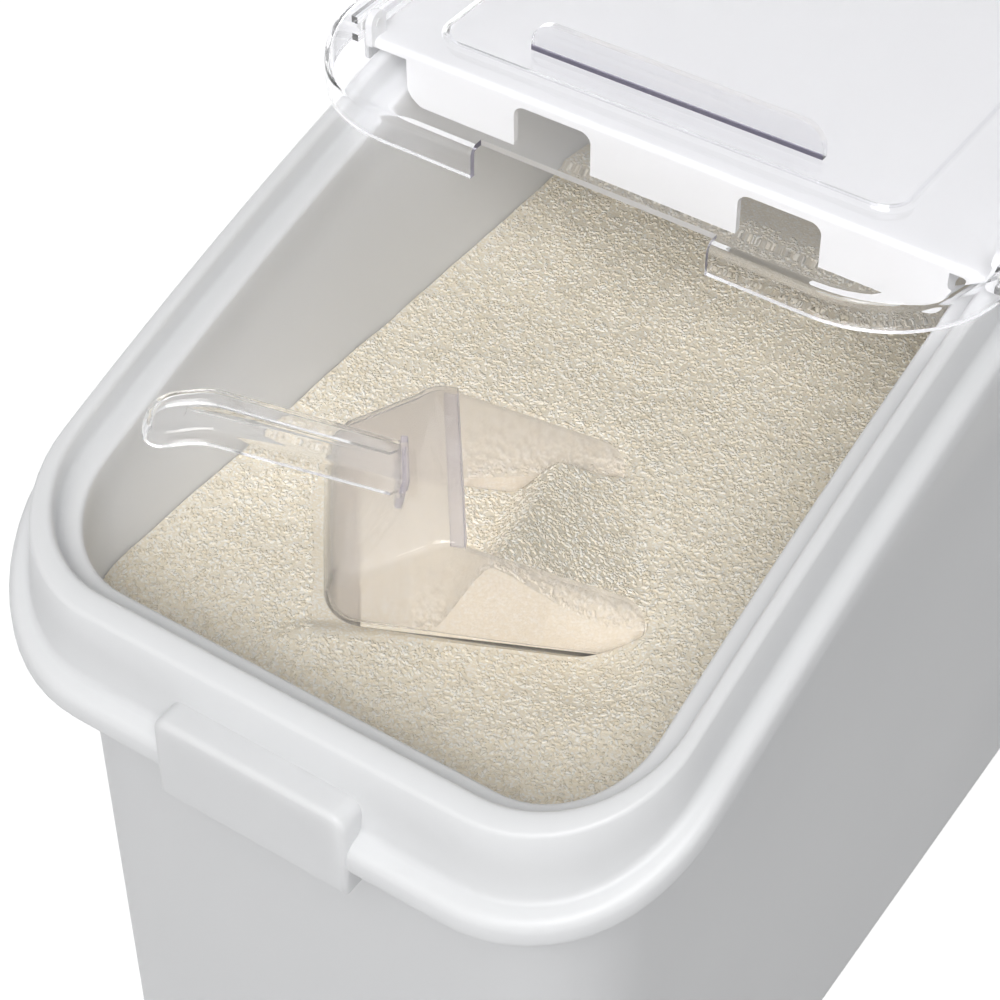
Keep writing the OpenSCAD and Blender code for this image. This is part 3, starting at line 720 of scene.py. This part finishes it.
# The notch's side faces take the dark edge tint as well: painted shade on the cut edges.
for face in clear_lid.data.polygons:
    if face.material_index == notch_slot and abs(face.normal.x) > 0.9:
        face.material_index = painted_edge_slot
for side in (-1, 1):
    left, right = sorted((side * (LID_HALF - LID_T + 1 * mm), side * (LID_HALF - LID_T - RIB_DEPTH)))
    for z0, z1 in ((LID_Z + 0.05 * mm, PIVOT_Z - GROOVE_H / 2),
                   (PIVOT_Z + GROOVE_H / 2, PIVOT_Z + GROOVE_H / 2 + RIB_T)):
        carve(clear_lid, block("rib", (left, LID_FRONT + RIB_BACK, z0),
                               (right, LID_REAR - LID_T - 0.3 * mm, z1)), "UNION")
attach(clear_lid, "clear_cover")
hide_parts("front_lid")

# ----------------------------------------------------------------- scoop
# One clear polycarbonate moulding, 2.4 mm thick and slightly hazed by use: a
# hooded bowl with a thick front edge, and a channel handle with a hooked end.

BOWL_L, BOWL_W, BOWL_H, SCOOP_T = 122 * mm, 89 * mm, 54 * mm, 2.4 * mm
FLOOR_FRONT, HEEL_R, CROWN_R = 89 * mm, 14 * mm, 16 * mm
PEAK_AT, HOOD_TURN = 46 * mm, 50
TIP_R, TIP_TURN, TURNS = 18 * mm, 73.5, 7
HOOD_EDGE, HOOD_EDGE_T = 5.5 * mm, 4.5 * mm
HANDLE_W, HANDLE_L, HANDLE_RISE, HANDLE_D = 24 * mm, 98 * mm, 10.5, 9 * mm
HANDLE_R, HANDLE_EDGE_R, HANDLE_T = 9 * mm, 3.2 * mm, 2.2 * mm
HOOK_L, HOOK_DROP, HOOK_LEAD, HOOK_MORE = 20 * mm, 10.5 * mm, 4 * mm, 1.12
ROOT_AT, ROOT_UP, ROOT_T, ROOT_H = 26 * mm, 51 * mm, 3 * mm, 14 * mm
SCOOP_AT = (-58 * mm, Y_FRONT + 103.5 * mm, FRONT_H - 36 * mm)
SCOOP_YAW, SCOOP_DIP = math.radians(37), math.radians(12)
in_scoop = (Matrix.Translation(SCOOP_AT) @ Matrix.Rotation(SCOOP_YAW, 4, "Z")
            @ Matrix.Rotation(SCOOP_DIP, 4, "Y"))
in_handle = (in_scoop @ Matrix.Translation((ROOT_AT, 0, ROOT_UP)) @ Matrix.Rotation(math.pi, 4, "Z")
             @ Matrix.Rotation(math.radians(-HANDLE_RISE), 4, "Y"))


def tip_reach(z):
    """How far forward the bowl's rounded tip comes at a height."""
    return BOWL_L - TIP_R + math.sqrt(TIP_R ** 2 - (TIP_R - max(z, SCOOP_T)) ** 2)


def side_corner_r(share):
    """Radius between the bowl's strip and its side walls: wide at the back, narrow at the peak."""
    return (4.5 + 5.5 * eased(share / 0.42) - 7 * eased((share - 0.62) / 0.38)) * mm


# The strip's side view from the floor's front edge round the heel to the hood's edge
side_view = [(FLOOR_FRONT - 9 * mm * i, 0.0) for i in range(9)]
side_view += arc_points(HEEL_R, HEEL_R, HEEL_R, 270, 180, 8)
side_view += arc_points(CROWN_R, HEEL_R + 6 * mm, CROWN_R, 180, 180 - HOOD_TURN, 7)
side_view += arc_points(PEAK_AT - 6 * mm, BOWL_H - CROWN_R, CROWN_R, 180 - HOOD_TURN, 90, 7)
side_view += [(PEAK_AT, BOWL_H)]


def inward(points):
    """Unit normals of the side view that point into the bowl."""
    normals = []
    for i in range(len(points)):
        (ax, ay), (bx, by) = points[max(i - 1, 0)], points[min(i + 1, len(points) - 1)]
        length = math.hypot(bx - ax, by - ay)
        normals.append(((by - ay) / length, -(bx - ax) / length))
    normals[0], normals[-1] = (0.0, 1.0), (0.0, -1.0)
    return normals


def net_faces(skin, rows):
    """Fills a net of rows of corners with faces."""
    for low, high in zip(rows, rows[1:]):
        for j in range(len(low) - 1):
            skin.faces.new((low[j], low[j + 1], high[j + 1], high[j]))


bowl = bmesh.new()
rows = []
for (along, up), (in_along, in_up) in zip(side_view, inward(side_view)):
    r = side_corner_r(len(rows) / (len(side_view) - 1))
    row = []
    for i in range(-TURNS - 1, TURNS + 2):
        turn = math.radians(90 * min(abs(i), TURNS) / TURNS)
        inset = r * (1 - math.cos(turn)) + (0.8 * mm if abs(i) > TURNS else 0.0)
        across = math.copysign(BOWL_W / 2 - r + r * math.sin(turn), i) if i else 0.0
        height = up + in_up * inset
        reach = along + in_along * inset if rows else tip_reach(height)
        row.append(bowl.verts.new((reach, across, height)))
    rows.append(row)
net_faces(bowl, rows)
for j, side in ((0, -1), (-1, 1)):
    lowest = math.degrees(math.asin((rows[0][j].co.z - TIP_R) / TIP_R))
    tip = arc_points(BOWL_L - TIP_R, TIP_R, TIP_R, TIP_TURN, lowest, 14)[:-1]
    bowl.faces.new([row[j] for row in rows]
                   + [bowl.verts.new((along, side * BOWL_W / 2, up)) for along, up in tip])
bowl_plastic = clear_plastic("hazed_polycarbonate", (0.88, 0.855, 0.835), 0.27, 1.15, 0.90, 1.0)
# Darker lilac tint for the thick hood edge and root plate: painted shade for their dark refraction
# lines.
thick_painted_shade = clear_plastic("thick_polycarbonate_painted_shade", (0.74, 0.71, 0.77), 0.15, 1.15, 0.75)
handle_plastic = clear_plastic("clear_polycarbonate", (0.975, 0.975, 0.98), 0.05, 1.22)
scoop = shell("scoop_moulding", bowl, SCOOP_T)
scoop.data.materials.append(bowl_plastic)
# The hood's edge bar takes the darker tint: painted shade along the thickened edge.
edge_bar = block("hood_edge", (PEAK_AT - HOOD_EDGE, 1.5 * mm - BOWL_W / 2, BOWL_H - HOOD_EDGE_T),
                 (PEAK_AT - 0.05 * mm, BOWL_W / 2 - 1.5 * mm, BOWL_H - 0.3 * mm), 0.8 * mm)
carve(scoop, edge_bar, "UNION", thick_painted_shade)


def handle_drop(along):
    """How far the handle's top has bent down at a distance from its root."""
    return HOOK_DROP * eased((along - HANDLE_L + HOOK_L + HOOK_LEAD) / (HOOK_L + 10 * mm)) * HOOK_MORE


def handle_outline(inset):
    """The handle's outline from above, drawn in by a distance."""
    return rounded_outline(HANDLE_W / 2 - inset, inset, HANDLE_L - inset, 1 * mm,
                           max(HANDLE_R - inset, 1 * mm), 36, 6, 8)


handle_rings = [[Vector((y, x, -handle_drop(y) - HANDLE_D)) for x, y in handle_outline(0)]]
for inset, drop in edge_insets(HANDLE_EDGE_R, 6):
    handle_rings.append([Vector((y, x, -handle_drop(y) - drop)) for x, y in handle_outline(inset)])
core = [(x * 0.05, min(max(y, HANDLE_W / 2), HANDLE_L - HANDLE_W / 2))
        for x, y in handle_outline(HANDLE_EDGE_R)]
for share in (0.3, 0.65, 1.0):
    ring = blended(handle_outline(HANDLE_EDGE_R), core, share)
    handle_rings.append([Vector((y, x, -handle_drop(y))) for x, y in ring])
handle = shell("handle", loft(list(zip(*handle_rings)), capped=(-1,)), HANDLE_T)
handle.data.transform(in_scoop.inverted() @ in_handle)
carve(scoop, handle, "UNION", handle_plastic)
# The root plate takes the darker tint: painted shade for the dark double line at the handle's root.
carve(scoop, block("root_plate", (ROOT_AT - ROOT_T, -HANDLE_W / 2 - 1 * mm, ROOT_UP - ROOT_H),
                   (ROOT_AT, HANDLE_W / 2 + 1 * mm, ROOT_UP + 0.8 * mm), 0.6 * mm),
      "UNION", thick_painted_shade)
scoop.data.transform(in_scoop)
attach(scoop, "scoop")
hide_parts("scoop")

# ------------------------------------------------------------------ rice
# White rice, filled to 4 cm below the front rim, heaped a little at the walls
# and hollowed beside the scoop. Its top is one skin with loose grains strewn
# over it. The scoop's load is a heap of its own that lifts out with the scoop.

RICE_Z = FRONT_H - 41.5 * mm
RICE_GAP, RICE_CREASE = 0.3 * mm, 70
BED_HALF, BED_FRONT, BED_REAR = RIM_W / 2 - MOUTH_IN, Y_FRONT + MOUTH_IN_FRONT, Y_REAR - MOUTH_IN
CELL = 2 * mm
SWELL_H, RIPPLE_H, HEAP_H, HEAP_W = 1.5 * mm, 0.6 * mm, 1.5 * mm, 9 * mm
RICE_SINK, TIP_SINK = 0.8 * mm, 2 * mm
HOLLOW_L, HOLLOW_W, HOLLOW_NEAR = 92 * mm, 52 * mm, 12 * mm
HOLLOW_HEEL, HOLLOW_TIP = 28 * mm, 16 * mm
LOAD_BACK, LOAD_FRONT, LOAD_HALF = 16 * mm, BOWL_L + 1.5 * mm, BOWL_W / 2 - SCOOP_T - 0.4 * mm
LOAD_ROWS, LOAD_COLUMNS, BACK_SLOPE = 60, 46, 17 * mm
GRAIN_L, GRAIN_W, GRAIN_LIFT = 2.6 * mm, 1.12 * mm, 0.15 * mm
SHOULDER_AT, SHOULDER_SWELL = 0.26, 0.86
FRONT_GRAINS, BACK_GRAINS, LOAD_GRAINS = 15500, 7000, 3000
STREWN_HALF, STREWN_BACK = Y_BEND + 20 * mm, Y_BEND + 130 * mm
# Painted shade: the darker colour the rice skin takes in the gaps between grains.
PAINTED_GAP_SHADE = (0.93, 0.85, 0.70, 1)
GRAIN_TINTS = ((0.0, (0.88, 0.80, 0.65, 1)), (0.35, (0.95, 0.885, 0.76, 1)),
               (0.7, (0.98, 0.93, 0.83, 1)), (1.0, (0.99, 0.965, 0.90, 1)))
to_scoop = in_scoop.inverted()


def beside_scoop(x, y):
    """A point in the scoop's frame: along it, across it, and how far outside its footprint."""
    along, across, _ = to_scoop @ Vector((x, y, RICE_Z))
    off = math.hypot(max(-along, 0.0, along - BOWL_L), max(abs(across) - BOWL_W / 2, 0.0))
    return along, across, off


def hollow_level(along):
    """The rice's level along the scoop's near wall: on its lower edge, then up to the tip."""
    low = SCOOP_AT[2] - min(max(along, 0.0), HOLLOW_L) * math.sin(SCOOP_DIP)
    rise = min(max(along - HOLLOW_L, 0.0) / (BOWL_L - HOLLOW_L), 1.0)
    return low + (RICE_Z - TIP_SINK - low) * rise ** 2


def rice_height(x, y):
    """The rice's surface: soft swells, heaped at the walls and hollowed at the scoop's near side."""
    swell = (SWELL_H * noise.noise(Vector((x, y, 0.3)) * 17)
             + RIPPLE_H * noise.noise(Vector((x, y, 2)) * 55))
    to_wall = min(BED_HALF - abs(x), y - Y_FRONT - MOUTH_IN_FRONT)
    level = RICE_Z - RICE_SINK + swell + HEAP_H * math.exp(-to_wall / HEAP_W)
    along, across, _ = beside_scoop(x, y)
    outward = -BOWL_W / 2 - across
    beside = (1 - eased(outward / HOLLOW_W)) * (1 - eased(-outward / HOLLOW_NEAR))
    lengthwise = (eased((along + HOLLOW_HEEL) / HOLLOW_HEEL)
                  * (1 - eased((along - BOWL_L) / HOLLOW_TIP)))
    return level + beside * lengthwise * (hollow_level(along) - level)


def load_height(along, across):
    """The load's surface above the bowl's floor: a crest set aslant that runs down to the tip."""
    share = (across + BOWL_W / 2) / BOWL_W
    crest, crest_h = (57 + 39 * share) * mm, (23 + 19 * (1 - share) ** 1.4) * mm
    floor_z = (in_scoop @ Vector((along, across, 0))).z
    place = in_scoop @ Vector((along, across, 0.02))
    flush = (rice_height(place.x, place.y) - floor_z) / math.cos(SCOOP_DIP)
    down = min(max((along - crest) / (BOWL_L - crest), 0.0), 1.0)
    top = crest_h + (flush - crest_h) * down ** 1.2
    back = eased((along - crest + BACK_SLOPE) / BACK_SLOPE)
    ripple = 1.0 * mm * noise.noise(Vector((along, across, 5)) * 60) * (1 - down)
    low = SCOOP_T + 1.6 * mm
    return low + (top - low) * back + ripple * back


def vector_maths(tree, operation, *values, scale=None):
    """The result of a new vector math node, which is a number where it measures one."""
    node = tree.nodes.new("ShaderNodeVectorMath")
    node.operation = operation
    for socket, value in zip(node.inputs, values):
        feed(tree, socket, value)
    if scale is not None:
        feed(tree, node.inputs["Scale"], scale)
    return node.outputs["Value" if operation in ("DOT_PRODUCT", "LENGTH") else "Vector"]


def rice_layer_group():
    """Node group for one layer of grains: ellipsoids set at random in the cells of a 3-D net."""
    group = new_group("rice_layer", (("Cells per metre", 520.0), ("Shift", 0.0)), ("Height", "Tone"))
    entry, result, place, cells, tone = add_nodes(
        group, "NodeGroupInput", "NodeGroupOutput", "ShaderNodeTexCoord", "ShaderNodeTexVoronoi",
        "ShaderNodeSeparateColor")
    spot = vector_maths(group, "ADD", place.outputs["Object"], entry.outputs["Shift"])
    set_up(group, cells, {"Vector": spot, "Scale": entry.outputs["Cells per metre"]})
    lean = vector_maths(group, "SUBTRACT", cells.outputs["Color"], (0.5, 0.5, 0.5))
    axis = vector_maths(group, "NORMALIZE", vector_maths(group, "MULTIPLY", lean, (1, 1, 0.45)))
    from_centre = vector_maths(group, "SUBTRACT", spot, cells.outputs["Position"])
    along = vector_maths(group, "DOT_PRODUCT", from_centre, axis)
    beside = vector_maths(group, "SUBTRACT", from_centre,
                          vector_maths(group, "SCALE", axis, scale=along))
    across = vector_maths(group, "LENGTH", vector_maths(group, "SCALE", beside, scale=2 / GRAIN_W))
    endward = maths(group, "MULTIPLY", along, 2 / GRAIN_L)
    outward = maths(group, "ADD", maths(group, "POWER", across, 2),
                    maths(group, "MULTIPLY", endward, endward))
    inside = maths(group, "SUBTRACT", 1, outward)
    inside.node.use_clamp = True
    set_up(group, tone, {"Color": cells.outputs["Color"]})
    set_up(group, result, {"Height": maths(group, "SQRT", inside), "Tone": tone.outputs["Blue"]})
    return group


def set_grain_tints(ramp):
    """Grain colours, from a translucent cream to a chalky white."""
    while len(ramp.elements) < len(GRAIN_TINTS):
        ramp.elements.new(0.5)
    for element, (at, tint) in zip(ramp.elements, GRAIN_TINTS):
        element.position = at
        element.color = tint


def rice_material(name):
    """A new material with the dusty surface of dry grains."""
    material, tree, shader = new_material(name)
    set_up(tree, shader, {"Roughness": 0.60, "Specular IOR Level": 0.25})
    return material, tree, shader


def rice_skin():
    """Material of the rice's skin: three layers of grains, with painted shade in the gaps between them.
    """
    material, tree, shader = rice_material("rice_bulk")
    layer_group = rice_layer_group()
    for i in range(3):
        layer = tree.nodes.new("ShaderNodeGroup")
        layer.node_tree = layer_group
        set_up(tree, layer, {"Cells per metre": 620 - 55 * i, "Shift": 0.37 * i})
        layer_height, layer_tone = layer.outputs["Height"], layer.outputs["Tone"]
        if i:
            pick = tree.nodes.new("ShaderNodeMix")
            set_up(tree, pick, {"Factor": maths(tree, "GREATER_THAN", layer_height, height),
                                "A": tone, "B": layer_tone})
            layer_height = maths(tree, "MAXIMUM", layer_height, height)
            layer_tone = pick.outputs["Result"]
        height, tone = layer_height, layer_tone
    grain, shade, between, bump = add_nodes(tree, "ShaderNodeValToRGB", "ShaderNodeMapRange",
                                            "ShaderNodeMix", "ShaderNodeBump")
    set_grain_tints(grain.color_ramp)
    set_up(tree, grain, {"Fac": tone})
    # Painted shade: the skin darkens to the gap colour where the grain layers are low.
    set_up(tree, shade, {"Value": height, "From Max": 0.55})
    between.data_type = "RGBA"
    set_up(tree, between, {"Factor": shade.outputs["Result"], "A": PAINTED_GAP_SHADE,
                           "B": grain.outputs["Color"]})
    set_up(tree, bump, {"Height": height, "Distance": 0.07 * mm, "Strength": 1})
    set_up(tree, shader, {"Base Color": between.outputs["Result"], "Normal": bump.outputs["Normal"]})
    return material


def grain_skin():
    """Material of the loose grains: each has a colour of its own."""
    material, tree, shader = rice_material("rice_grain")
    each, tone = add_nodes(tree, "ShaderNodeNewGeometry", "ShaderNodeValToRGB")
    set_grain_tints(tone.color_ramp)
    set_up(tree, tone, {"Fac": each.outputs["Random Per Island"]})
    set_up(tree, shader, {"Base Color": tone.outputs["Color"]})
    return material


def heap(name, skin, rows, foot_z):
    """A piece under a net of corners, with upright sides and a flat foot."""
    net_faces(skin, rows)
    edge = (rows[0][:-1] + [row[-1] for row in rows[:-1]] + rows[-1][:0:-1]
            + [row[0] for row in rows[:0:-1]])
    foot = [skin.verts.new((v.co.x, v.co.y, foot_z)) for v in edge]
    for i, v in enumerate(edge):
        j = (i + 1) % len(edge)
        skin.faces.new((v, edge[j], foot[j], foot[i]))
    skin.faces.new(foot)
    return new_piece(name, skin, rice_white, RICE_CREASE)


def strewn_grains(name, count, spot, seed):
    """Loose grains, each a small spindle lying at the place and on the slope that spot gives."""
    chance = random.Random(seed)
    points, faces = [], []
    while len(points) < count * 10:
        found = spot(chance)
        if not found:
            continue
        centre, up = found
        length, width = GRAIN_L * chance.uniform(0.8, 1.15), GRAIN_W * chance.uniform(0.85, 1.15)
        turn = (up.to_track_quat("Z", "Y").to_matrix()
                @ Matrix.Rotation(chance.uniform(0, math.pi), 3, "Z")
                @ Matrix.Rotation(chance.gauss(0, 0.30), 3, "Y"))
        base = len(points)
        points.append(centre + turn @ Vector((-length / 2, 0, 0)))
        for at in (-SHOULDER_AT, SHOULDER_AT):
            for k in range(4):
                t = math.pi * (0.25 + k / 2)
                points.append(centre + turn @ Vector((
                    at * length, SHOULDER_SWELL * width / 2 * 1.25 * math.cos(t),
                    SHOULDER_SWELL * width / 2 * 1.1 * math.sin(t))))
        points.append(centre + turn @ Vector((length / 2, 0, 0)))
        for k in range(4):
            j = (k + 1) % 4
            faces.append((base, base + 1 + j, base + 1 + k))
            faces.append((base + 1 + k, base + 1 + j, base + 5 + j, base + 5 + k))
            faces.append((base + 5 + k, base + 5 + j, base + 9))
    mesh = bpy.data.meshes.new(name)
    mesh.from_pydata(points, [], faces)
    mesh.materials.append(loose_grain)
    mesh.shade_smooth()
    grains = bpy.data.objects.new(name, mesh)
    bpy.context.scene.collection.objects.link(grains)
    return grains


def slope_up(height, u, v, step=1 * mm):
    """Unit normal of a height field."""
    return Vector((height(u - step, v) - height(u + step, v), height(u, v - step) - height(u, v + step),
                   2 * step)).normalized()


rice_white, loose_grain = rice_skin(), grain_skin()
bed_columns = math.ceil(2 * BED_HALF / CELL) + 2
bed_rows = math.ceil((BED_REAR - BED_FRONT) / CELL) + 2
field = bmesh.new()
top = [[field.verts.new((x, y, rice_height(x, y)))
        for x in [-BED_HALF - CELL + i * CELL for i in range(bed_columns + 1)]]
       for y in [BED_FRONT - CELL + j * CELL for j in range(bed_rows + 1)]]
rice_bed = heap("rice_bed_heap", field, top, 0)
inside = [drafted(MOUTH_IN + RICE_GAP, MOUTH_IN_FRONT + RICE_GAP, lambda y, z=z: z)
          for z in (FOOT_H + FLOOR_T, RICE_Z + 12 * mm)]
carve(rice_bed, new_piece("tub_inside", loft(list(zip(*inside))), None), "INTERSECT")
scoop_print = block("scoop_print", (-RICE_GAP, -BOWL_W / 2 - RICE_GAP, -RICE_GAP),
                    (LOAD_FRONT + RICE_GAP, BOWL_W / 2 + RICE_GAP, 60 * mm), 4 * mm)
scoop_print.data.transform(in_scoop)
carve(rice_bed, scoop_print, "DIFFERENCE")
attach(rice_bed, "tub")
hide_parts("rice_bed")


def spot_on_bed(chance, front, back):
    """A place and a slope on the bed, or nothing if it falls in the scoop or past a corner."""
    x, y = chance.uniform(-BED_HALF, BED_HALF), chance.uniform(front, back)
    r = CORNER_R - MOUTH_IN
    if math.hypot(max(abs(x) - BED_HALF + r, 0), max(BED_FRONT + r - y, 0)) > r - 2 * mm:
        return None
    if beside_scoop(x, y)[2] < 1.2 * mm:
        return None
    return Vector((x, y, rice_height(x, y) + GRAIN_LIFT)), slope_up(rice_height, x, y)


for name, count, front, back, seed in (
        ("rice_front_grains", FRONT_GRAINS, BED_FRONT, STREWN_HALF, 11),
        ("rice_back_grains", BACK_GRAINS, STREWN_HALF, STREWN_BACK, 13)):
    bed_grains = strewn_grains(name, count, lambda chance: spot_on_bed(chance, front, back), seed)
    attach(bed_grains, "tub")

load = bmesh.new()
load_rows = [[load.verts.new((along, across, load_height(along, across)))
              for across in [LOAD_HALF * (2 * j / LOAD_COLUMNS - 1) for j in range(LOAD_COLUMNS + 1)]]
             for along in [LOAD_BACK + (LOAD_FRONT - LOAD_BACK) * i / LOAD_ROWS
                           for i in range(LOAD_ROWS + 1)]]
rice_load = heap("rice_load_heap", load, load_rows, SCOOP_T + 0.3 * mm)
rice_load.data.transform(in_scoop)
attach(rice_load, "scoop")
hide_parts("rice_in_scoop")


def spot_on_load(chance):
    """A place and a slope on the scoop's load."""
    along = chance.uniform(LOAD_BACK + 20 * mm, LOAD_FRONT)
    across = chance.uniform(-LOAD_HALF + 1 * mm, LOAD_HALF - 1 * mm)
    up = in_scoop.to_3x3() @ slope_up(load_height, along, across)
    return in_scoop @ Vector((along, across, load_height(along, across) + GRAIN_LIFT)), up


load_grains = strewn_grains("rice_load_grains", LOAD_GRAINS, spot_on_load, 12)
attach(load_grains, "scoop")
